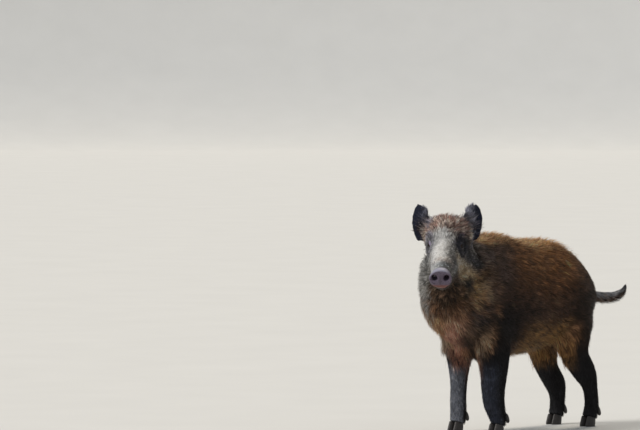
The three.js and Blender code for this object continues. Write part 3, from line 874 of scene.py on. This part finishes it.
horn, tree, shader = new_material("horn")
rings = tree.nodes.new("ShaderNodeTexWave")
rings.bands_direction = "Z"
rings.inputs["Scale"].default_value = 70
rings.inputs["Distortion"].default_value = 2.5
rings.inputs["Detail"].default_value = 2.0
place_node = tree.nodes.new("ShaderNodeTexCoord")
tree.links.new(place_node.outputs["Object"], rings.inputs["Vector"])
wear = noise(tree, 120)
base = tree.nodes.new("ShaderNodeRGB")
base.outputs[0].default_value = HORN
worn = shade(tree, base.outputs[0], wear.outputs["Fac"], 0.5, 1.7)
tree.links.new(shade(tree, worn, rings.outputs["Fac"], 0.8, 1.15), shader.inputs["Base Color"])
shader.inputs["Roughness"].default_value = 0.48
bump(tree, shader, rings.outputs["Fac"], 0.0006, 0.7)

for name in CLAWS:
    claw = add_object(name.replace("claw", "hoof"), mesh_of(copy_of(name), name + "_horn"))
    remesh = claw.modifiers.new("round", "REMESH")
    remesh.mode = "VOXEL"
    remesh.voxel_size = CLAW_VOXEL
    apply_modifiers(claw)
    spots = points_of(claw.data)
    round_off = 0.6 * ramp(spots[:, 2], 0, 0.004) + 0.1
    spots = relaxed(spots, edges_of(claw.data), round_off, 14)
    if not name.startswith("dewclaw"):
        spots[:, 2] = np.where(spots[:, 2] < SOLE, 0, spots[:, 2])
    set_points(claw.data, spots)
    claw.data.materials.clear()
    claw.data.materials.append(horn)
    claw.data.shade_smooth()
    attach(claw, "root")
    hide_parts(name)

# ---- Coat on the body ----
# Stiff rusty bristles about 4 cm long lie back over the trunk. They hang together in small pointed
# locks, each one a thin three-sided spike rooted in the hide.

hide.data.calc_loop_triangles()
triangles = read(hide.data.loop_triangles, "vertices", 3, np.int32)
corners = points[triangles]
side_one, side_two = corners[:, 1] - corners[:, 0], corners[:, 2] - corners[:, 0]
areas = np.linalg.norm(np.cross(side_one, side_two), axis=1) / 2
hide_tree = BVHTree.FromPolygons(points.tolist(), triangles.tolist())

LOCKS_IN_CLUMP = 9
FLATNESS = 0.45  # a lock's thickness, as a share of its width
BULGE = 1.6  # how much wider a lock is at its bend than a straight spike
SUNK = 0.0006  # how deep a lock's root is sunk in the hide
PATCH = 0.003  # a lock's share of the coat's bake map, each way
DARK_SHARE = 0.22  # this share of the locks is darker than the rest
DARK_TONE = 0.3


def lock_shape(bend):
    """One lock, one unit wide and long: a closed three-sided spike, with a ring if it bends."""
    bm = bmesh.new()
    up_along = Matrix.Translation((0, 0, 0.5))
    bmesh.ops.create_cone(bm, cap_ends=True, segments=3, radius1=0.5, radius2=0, depth=1, matrix=up_along)
    if bend:
        everything = bm.verts[:] + bm.edges[:] + bm.faces[:]
        bmesh.ops.bisect_plane(bm, geom=everything, plane_co=(0, 0, 0.5), plane_no=(0, 0, 1))
        for vert in bm.verts:
            if 0.1 < vert.co.z < 0.9:
                vert.co.x *= BULGE
                vert.co.y *= BULGE
    bmesh.ops.recalc_face_normals(bm, faces=bm.faces)
    return mesh_of(bm, "lock")


def planted(chance, count, rng):
    """Spreads roots over the hide, more where the chance is higher. Gives a function that reads
    any value of the hide at each of them."""
    weight = np.cumsum(areas * chance[triangles].mean(1))
    pick = np.searchsorted(weight, (np.arange(count) + rng.random(count)) / count * weight[-1])
    pick = np.minimum(pick, len(triangles) - 1)
    u = np.sqrt(rng.random(count))
    v = rng.random(count)
    mix = np.stack([1 - u, u * (1 - v), u * v], 1)

    def at_root(values):
        values = np.broadcast_to(values, (len(points),) + np.shape(values)[1:])
        return np.einsum("ij,ij...->i...", mix, values[triangles[pick]])

    return at_root


def joined(name, form, faces, spots):
    """One mesh of many copies of a form, whose points are given for each copy."""
    count, each = spots.shape[:2]
    corner = np.concatenate(faces)
    start = np.cumsum([0] + [len(face) for face in faces])[:-1]
    copies = np.arange(count)[:, None]
    mesh = bpy.data.meshes.new(name)
    mesh.vertices.add(count * each)
    mesh.vertices.foreach_set("co", spots.astype(np.float32).ravel())
    mesh.loops.add(count * len(corner))
    mesh.loops.foreach_set("vertex_index", (corner + copies * each).astype(np.int32).ravel())
    mesh.polygons.add(count * len(faces))
    mesh.polygons.foreach_set("loop_start", (start + copies * len(corner)).astype(np.int32).ravel())
    mesh.update(calc_edges=True)
    mesh.shade_smooth()
    return mesh


def unwrap(spots, start, end):
    """Turns about the line from start to end, and the way along it and over its two ends."""
    axis = unit(end - start)
    one = unit(np.cross(axis, (0.31, 0.17, 0.93)))
    two = np.cross(axis, one)
    rel = spots - start
    along = rel @ axis
    radius = np.hypot(rel @ one, rel @ two)
    turn = np.arctan2(rel @ two, rel @ one)
    length = np.linalg.norm(end - start)
    past = np.where(along < 0, along, np.maximum(along - length, 0))
    way = np.clip(along, 0, length) + np.arctan2(past, radius) * radius.mean()
    flat = np.stack([turn, way], 1)
    low, high = flat.min(0), flat.max(0)
    return (flat - low) / (high - low)


def add_bake_map(mesh, form, faces, root, axis):
    """Each lock is a small patch at its root's place on an unwrap of the hide about an axis."""
    home = unwrap(root, *axis) * (1 - 2 * PATCH) + PATCH / 2
    turn = np.arctan2(form[:, 1], form[:, 0]) / math.tau + 0.5
    inside = np.stack([turn, form[:, 2]], 1) * PATCH
    uv = home[:, None] + inside[np.concatenate(faces)][None]
    mesh.uv_layers.new(name="OFBake").data.foreach_set("uv", uv.astype(np.float32).ravel())


def lock_tips(at_root, leader, streak, rng):
    """The colour of each lock's tip: some bleached, some dark, and clumps that differ in tone."""
    count = len(leader)
    tone = rng.random(count)
    tone = np.where(rng.random(count) < 0.6, tone[leader], tone)
    bright = np.exp(rng.normal(0, 0.3, count) + streak * rng.normal(0, 1, count)[leader])
    colour = at_root(tips) * bright[:, None]
    bleached = tone < at_root(pale)
    bright = at_root(straw) * rng.uniform(0.6, 1.2, count)[:, None]
    colour[bleached] = 0.25 * colour[bleached] + 0.75 * bright[bleached]
    colour[tone > 1 - DARK_SHARE] *= DARK_TONE
    return np.minimum(colour, 0.9)


def coat(
    name, chance, count, size, axis, seed,
    bend=True, hug=True, splay=0.16, clump=0.35, fall=0.0, streak=0.3,
):
    """Joined locks, rooted on the hide where the chance is highest, that follow its lie. Their size
    is how long, how far out at the tip and how wide they are; fall is how far the tips hang, and
    streak how much the clumps differ in tone."""
    length, stand, width = size
    rng = np.random.default_rng(seed)
    at_root = planted(chance, count, rng)
    root = at_root(points)
    normal = unit(at_root(normals))
    ahead = unit(at_root(lie))
    aside = np.cross(normal, ahead)
    turn = rng.normal(0, splay, count)[:, None] + splay * mottle(root, 0.03, seed)[:, None]
    ahead = unit(ahead * np.cos(turn) + aside * np.sin(turn))
    aside = unit(np.cross(normal, ahead))
    long = at_root(length) * rng.uniform(0.65, 1.2, count)
    tall = np.minimum(at_root(stand) * rng.uniform(0.45, 1.1, count), 0.9 * long)
    wide = at_root(width) * rng.uniform(0.75, 1.25, count)
    run = np.sqrt(long**2 - tall**2)

    tip = root + ahead * run[:, None]
    leaders = tree_of(root[::LOCKS_IN_CLUMP])
    leader = np.array([leaders.find(spot)[1] for spot in root]) * LOCKS_IN_CLUMP
    tip += clump * rng.uniform(0.5, 1, count)[:, None] * (tip[leader] - tip)
    if hug:
        found = [hide_tree.find_nearest(Vector(spot)) for spot in tip]
        tip_normal = unit(0.5 * np.array([hit[1] for hit in found]) + 0.5 * normal)
        tip = np.array([hit[0] for hit in found]) + tip_normal * tall[:, None]
    else:
        tip_normal = normal
        tip += normal * tall[:, None]
    tip[:, 2] -= at_root(fall) * rng.uniform(0.5, 1, count)
    middle = (root + tip) / 2 + (normal + tip_normal) / 2 * (0.22 * tall[:, None] + 0.0004)

    shape = lock_shape(bend)
    form = points_of(shape)
    faces = [list(face.vertices) for face in shape.polygons]
    bpy.data.meshes.remove(shape)
    rise = form[:, 2][None, :, None]
    upper = np.where(rise > 0.75, tip[:, None], middle[:, None])
    path = np.where(rise < 0.25, (root - normal * SUNK)[:, None], upper)
    spread = form[None, :, 0, None] * aside[:, None] + FLATNESS * form[None, :, 1, None] * normal[:, None]
    mesh = joined(name, form, faces, path + spread * wide[:, None, None])

    tip_colour = lock_tips(at_root, leader, streak, rng)
    share = rise**0.8
    colours = (1 - share) * at_root(roots)[:, None] * 0.8 + share * tip_colour[:, None]
    paint(mesh, "markings", colours.reshape(-1, 3))
    add_bake_map(mesh, form, faces, root, axis)
    mesh.materials.append(hair)
    piece = add_object(name, mesh)
    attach(piece, "root")
    return piece


hair, tree, shader = new_material("bristle")
strands = noise(tree, 350, 2)
colour = shade(tree, attribute(tree, "markings").outputs["Color"], strands.outputs["Fac"], 0.75, 1.25)
tree.links.new(colour, shader.inputs["Base Color"])
shader.inputs["Roughness"].default_value = 0.5
shader.inputs["Specular IOR Level"].default_value = 0.22

BODY_LOCKS = 15500  # on each quarter of the trunk
LOIN = 0.09  # where the front quarters of the coat end
covered = 1 - ramp(bare, 0.2, 0.6)
trunk_hair = trunk * covered
neck_hair = neck * covered
body_axis = (np.array((MIDLINE, -0.1, 0.42)), np.array((MIDLINE, 0.28, 0.42)))
body_stand = np.maximum(depth * 1.05, 0.004)
body_size = (0.036 + 0.012 * ramp(facing_up, 0.5, 0.95), body_stand, 0.0019)
on_left = x > MIDLINE
in_front = y < LOIN
QUARTERS = [
    ("shoulder_left", in_front & on_left, 49),
    ("shoulder_right", in_front & ~on_left, 50),
    ("rump_left", ~in_front & on_left, 51),
    ("rump_right", ~in_front & ~on_left, 52),
]
for name, quarter, seed in QUARTERS:
    chance = trunk_hair * quarter
    piece = coat("coat_" + name, chance, BODY_LOCKS, body_size, body_axis, seed, streak=0.42)

# ---- Neck, crest and belly ----
# The coat is shaggier on the neck and hangs at the throat. Longer bristles stand along the crest,
# and a fringe hangs under the belly.

NECK_LOCKS = 9800  # on each side
CREST_LOCKS = 3500
BELLY_LOCKS = 4000
throat = ramp(facing_up, 0.3, -0.5)
neck_axis = (centre_of("head"), centre_of("neck"))
neck_size = (0.034 + 0.012 * throat, body_stand + 0.01 * throat, 0.0019)
neck_habit = {"splay": 0.25, "fall": 0.006 * throat, "streak": 0.4}
for hand, half in (("left", on_left), ("right", ~on_left)):
    chance = neck_hair * half
    piece = coat("coat_neck_" + hand, chance, NECK_LOCKS, neck_size, neck_axis, 21, **neck_habit)

chance = ramp(facing_up, 0.72, 0.95) * (trunk_hair + neck_hair) * ramp(y, 0.3, 0.2)
crest_size = (0.042, 0.03, 0.002)
crest_habit = {"splay": 0.35, "clump": 0.5, "streak": 0.4}
piece = coat("coat_crest", chance, CREST_LOCKS, crest_size, body_axis, 22, **crest_habit)

chance = ramp(facing_up, -0.2, -0.7) * (trunk_hair + legs) * ramp(z, 0.2, 0.24)
fringe_size = (0.045, 0.01, 0.0017)
piece = coat("coat_belly", chance, BELLY_LOCKS, fringe_size, body_axis, 23, splay=0.3, fall=0.016)

# ---- Coat on the head ----
# The hair of the face is short and straight. It grows long and stands up over the crown, hangs at
# the jowls, and is wildest on the right side of the jaw and breast.

FACE_LOCKS = 42000
CROWN_LOCKS = 6500
CHEEK_LOCKS = 6500
WHISKERS = 3000
head_axis = (from_head(0, 0.04, 0), from_head(0, 0.24, 0))
face = head * covered
crown_top = ramp(behind, 0.15, 0.27) * ramp(above, -0.01, 0.045)
jowls = ramp(above, -0.04, -0.09) * ramp(behind, 0.1, 0.2)
longer = np.maximum(crown_top, jowls)
short = 1 - 0.5 * near_eye
face_size = ((0.0085 + 0.008 * longer) * short, (0.0022 + 0.004 * longer) * short, 0.0011)
face_habit = {"bend": False, "splay": 0.22, "streak": 0.8}
piece = coat("coat_face", face, FACE_LOCKS, face_size, head_axis, 31, **face_habit)

crown_size = (0.014 + 0.016 * crown_top, 0.006 + 0.016 * crown_top, 0.0017)
crown_habit = {"splay": 0.3, "clump": 0.45, "streak": 0.6}
piece = coat("coat_crown", face * crown_top, CROWN_LOCKS, crown_size, head_axis, 32, **crown_habit)

jowl_size = (0.014 + 0.014 * jowls, 0.004 + 0.008 * jowls, 0.0016)
jowl_habit = {"splay": 0.3, "clump": 0.6, "fall": 0.004, "streak": 0.6}
piece = coat("coat_cheeks", face * jowls, CHEEK_LOCKS, jowl_size, head_axis, 33, **jowl_habit)

jaw_right = (shares["head"] + neck) * ramp(to_left, -0.045, -0.07) * ramp(above, -0.02, -0.06)
breast = (neck + trunk + legs) * ramp(x, -0.1, -0.12)
breast *= ramp(y, -0.1, -0.14) * ramp(z, 0.25, 0.28) * ramp(z, 0.4, 0.36)
chance = np.maximum(jaw_right, 1.4 * breast)
whisker_size = (0.036, 0.018, 0.0018)
whisker_habit = {"splay": 0.5, "clump": 0.6, "fall": 0.006, "streak": 0.5}
piece = coat("coat_whiskers", chance, WHISKERS, whisker_size, head_axis, 34, **whisker_habit)

# ---- Coat on the ears ----
# Fine blue-black hair covers both faces of each ear, and a silvery fringe stands out from the
# inner edge.

EAR_LOCKS = 6500
FRINGE_LOCKS = 1500
ear_size = (0.01, 0.0015, 0.0012)
edge_size = (0.018, 0.004, 0.0014)
inner_side = ramp(flank, 0.08, 0.06)
for name in EARS:
    axis = ear_axis(name)
    piece = coat("coat_" + name, shares[name] * covered, EAR_LOCKS, ear_size, axis, 41, bend=False)
    chance = shares[name] * inner_side * ramp(above, 0.155, 0.115)
    fringe = coat(f"coat_{name}_fringe", chance, FRINGE_LOCKS, edge_size, axis, 42, hug=False, splay=0.3)

# ---- Coat on the legs and tail ----
# Short black hair lies down the legs. It is a little longer behind the pasterns, where it hangs
# over the tops of the hooves. The tail's hair hangs loosely from its underside.

LEG_LOCKS = 10000  # on each leg
TAIL_LOCKS = 3500
pastern = ramp(z, 0.11, 0.075) * ramp(facing_back, 0.0, 0.6)
leg_size = (0.014 + 0.016 * pastern, 0.0035 + 0.004 * pastern, 0.0013)
for name in LEGS:
    low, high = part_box(name)
    middle = (low + high) / 2
    leg_axis = (np.array((middle.x, middle.y, low.z)), np.array((middle.x, middle.y, high.z)))
    piece = coat("coat_" + name, shares[name], LEG_LOCKS, leg_size, leg_axis, 51, bend=False)

tail_axis = (np.array((-0.07, 0.4, 0.4)), np.array((0.0, 0.5, 0.43)))
tail_under = ramp(facing_up, 0.2, -0.6)
tail_size = (0.024 + 0.014 * tail_under, 0.005, 0.0015)
tail_habit = {"splay": 0.25, "clump": 0.5, "fall": 0.005 + 0.014 * tail_under}
piece = coat("coat_tail", tail, TAIL_LOCKS, tail_size, tail_axis, 61, **tail_habit)

# ---- Studio ----
# A plain pale floor that sweeps up at its edge into a low wall, soft light from the upper left,
# a weak warm light from behind, and the camera.

PALE_FLOOR = (0.6, 0.595, 0.58, 1)
SKY = (0.9, 0.95, 1.0, 1)
FLOOR_REACH = 40
FLOOR_SIDES = 128
SWEEP = 4  # radius of the curve from the floor up into the wall
SWEEP_STEPS = 16

bm = bmesh.new()
flat = FLOOR_REACH - SWEEP
bmesh.ops.create_circle(bm, cap_ends=True, segments=FLOOR_SIDES, radius=flat)
rim = [edge for edge in bm.edges if edge.is_boundary]
for step in range(SWEEP_STEPS):
    angle = (step + 1) / SWEEP_STEPS * math.pi / 2
    grown = bmesh.ops.extrude_edge_only(bm, edges=rim)["geom"]
    rim = [part for part in grown if isinstance(part, bmesh.types.BMEdge) and part.is_boundary]
    for vert in {vert for edge in rim for vert in edge.verts}:
        outwards = Vector((vert.co.x, vert.co.y, 0)).normalized()
        vert.co = outwards * (flat + SWEEP * math.sin(angle))
        vert.co.z = SWEEP * (1 - math.cos(angle))
bmesh.ops.recalc_face_normals(bm, faces=bm.faces)
floor = add_object("floor", mesh_of(bm, "floor"))
floor.data.shade_smooth()
floor_paint, tree, shader = new_material("floor")
grain = noise(tree, 3)
base = tree.nodes.new("ShaderNodeRGB")
base.outputs[0].default_value = PALE_FLOOR
tree.links.new(shade(tree, base.outputs[0], grain.outputs["Fac"], 0.96, 1.04), shader.inputs["Base Color"])
shader.inputs["Roughness"].default_value = 0.9
floor.data.materials.append(floor_paint)

CAMERA_TURN = math.radians(43)
CAMERA_RISE = math.radians(4.5)
CAMERA_DISTANCE = 16
LENS = 290
FRAMING = (-0.605, 0.672)  # right and up, from the floor under the boar to the picture's middle


def aim(piece, place, way):
    piece.location = place
    piece.rotation_mode = "QUATERNION"
    piece.rotation_quaternion = way.to_track_quat("-Z", "Y")


to_right = Vector((math.cos(CAMERA_TURN), math.sin(CAMERA_TURN), 0))
into = Vector((-math.sin(CAMERA_TURN), math.cos(CAMERA_TURN), 0)) * math.cos(CAMERA_RISE)
into.z = -math.sin(CAMERA_RISE)
upright = to_right.cross(into)
camera = add_object("camera", bpy.data.cameras.new("camera"))
camera.data.lens = LENS
camera.data.clip_end = 200
place = -into * CAMERA_DISTANCE
aim(camera, place, to_right * FRAMING[0] + upright * FRAMING[1] - place)
bpy.context.scene.camera = camera

world = bpy.data.worlds.new("studio")
world.use_nodes = True
background = world.node_tree.nodes["Background"]
background.inputs["Color"].default_value = SKY
background.inputs["Strength"].default_value = 0.38
bpy.context.scene.world = world
bpy.context.scene.view_settings.view_transform = "Standard"

# Each light: how far it comes from the camera's right, from above and from beyond the boar, its
# strength, how wide it is in degrees, and its colour.
LIGHTS = {
    "key": ((-1.0, 0.95, -0.5), 2.5, 25, (1.0, 0.97, 0.92)),
    "rim": ((0.3, 1.3, 0.9), 1.3, 20, (1.0, 0.9, 0.74)),
}
for name, (way, power, width, colour) in LIGHTS.items():
    lamp = bpy.data.lights.new(name, "SUN")
    lamp.energy = power
    lamp.angle = math.radians(width)
    lamp.color = colour
    out = to_right * way[0] + Vector((0, 0, 1)) * way[1] + into * way[2]
    aim(add_object(name, lamp), out.normalized() * 4, -out)
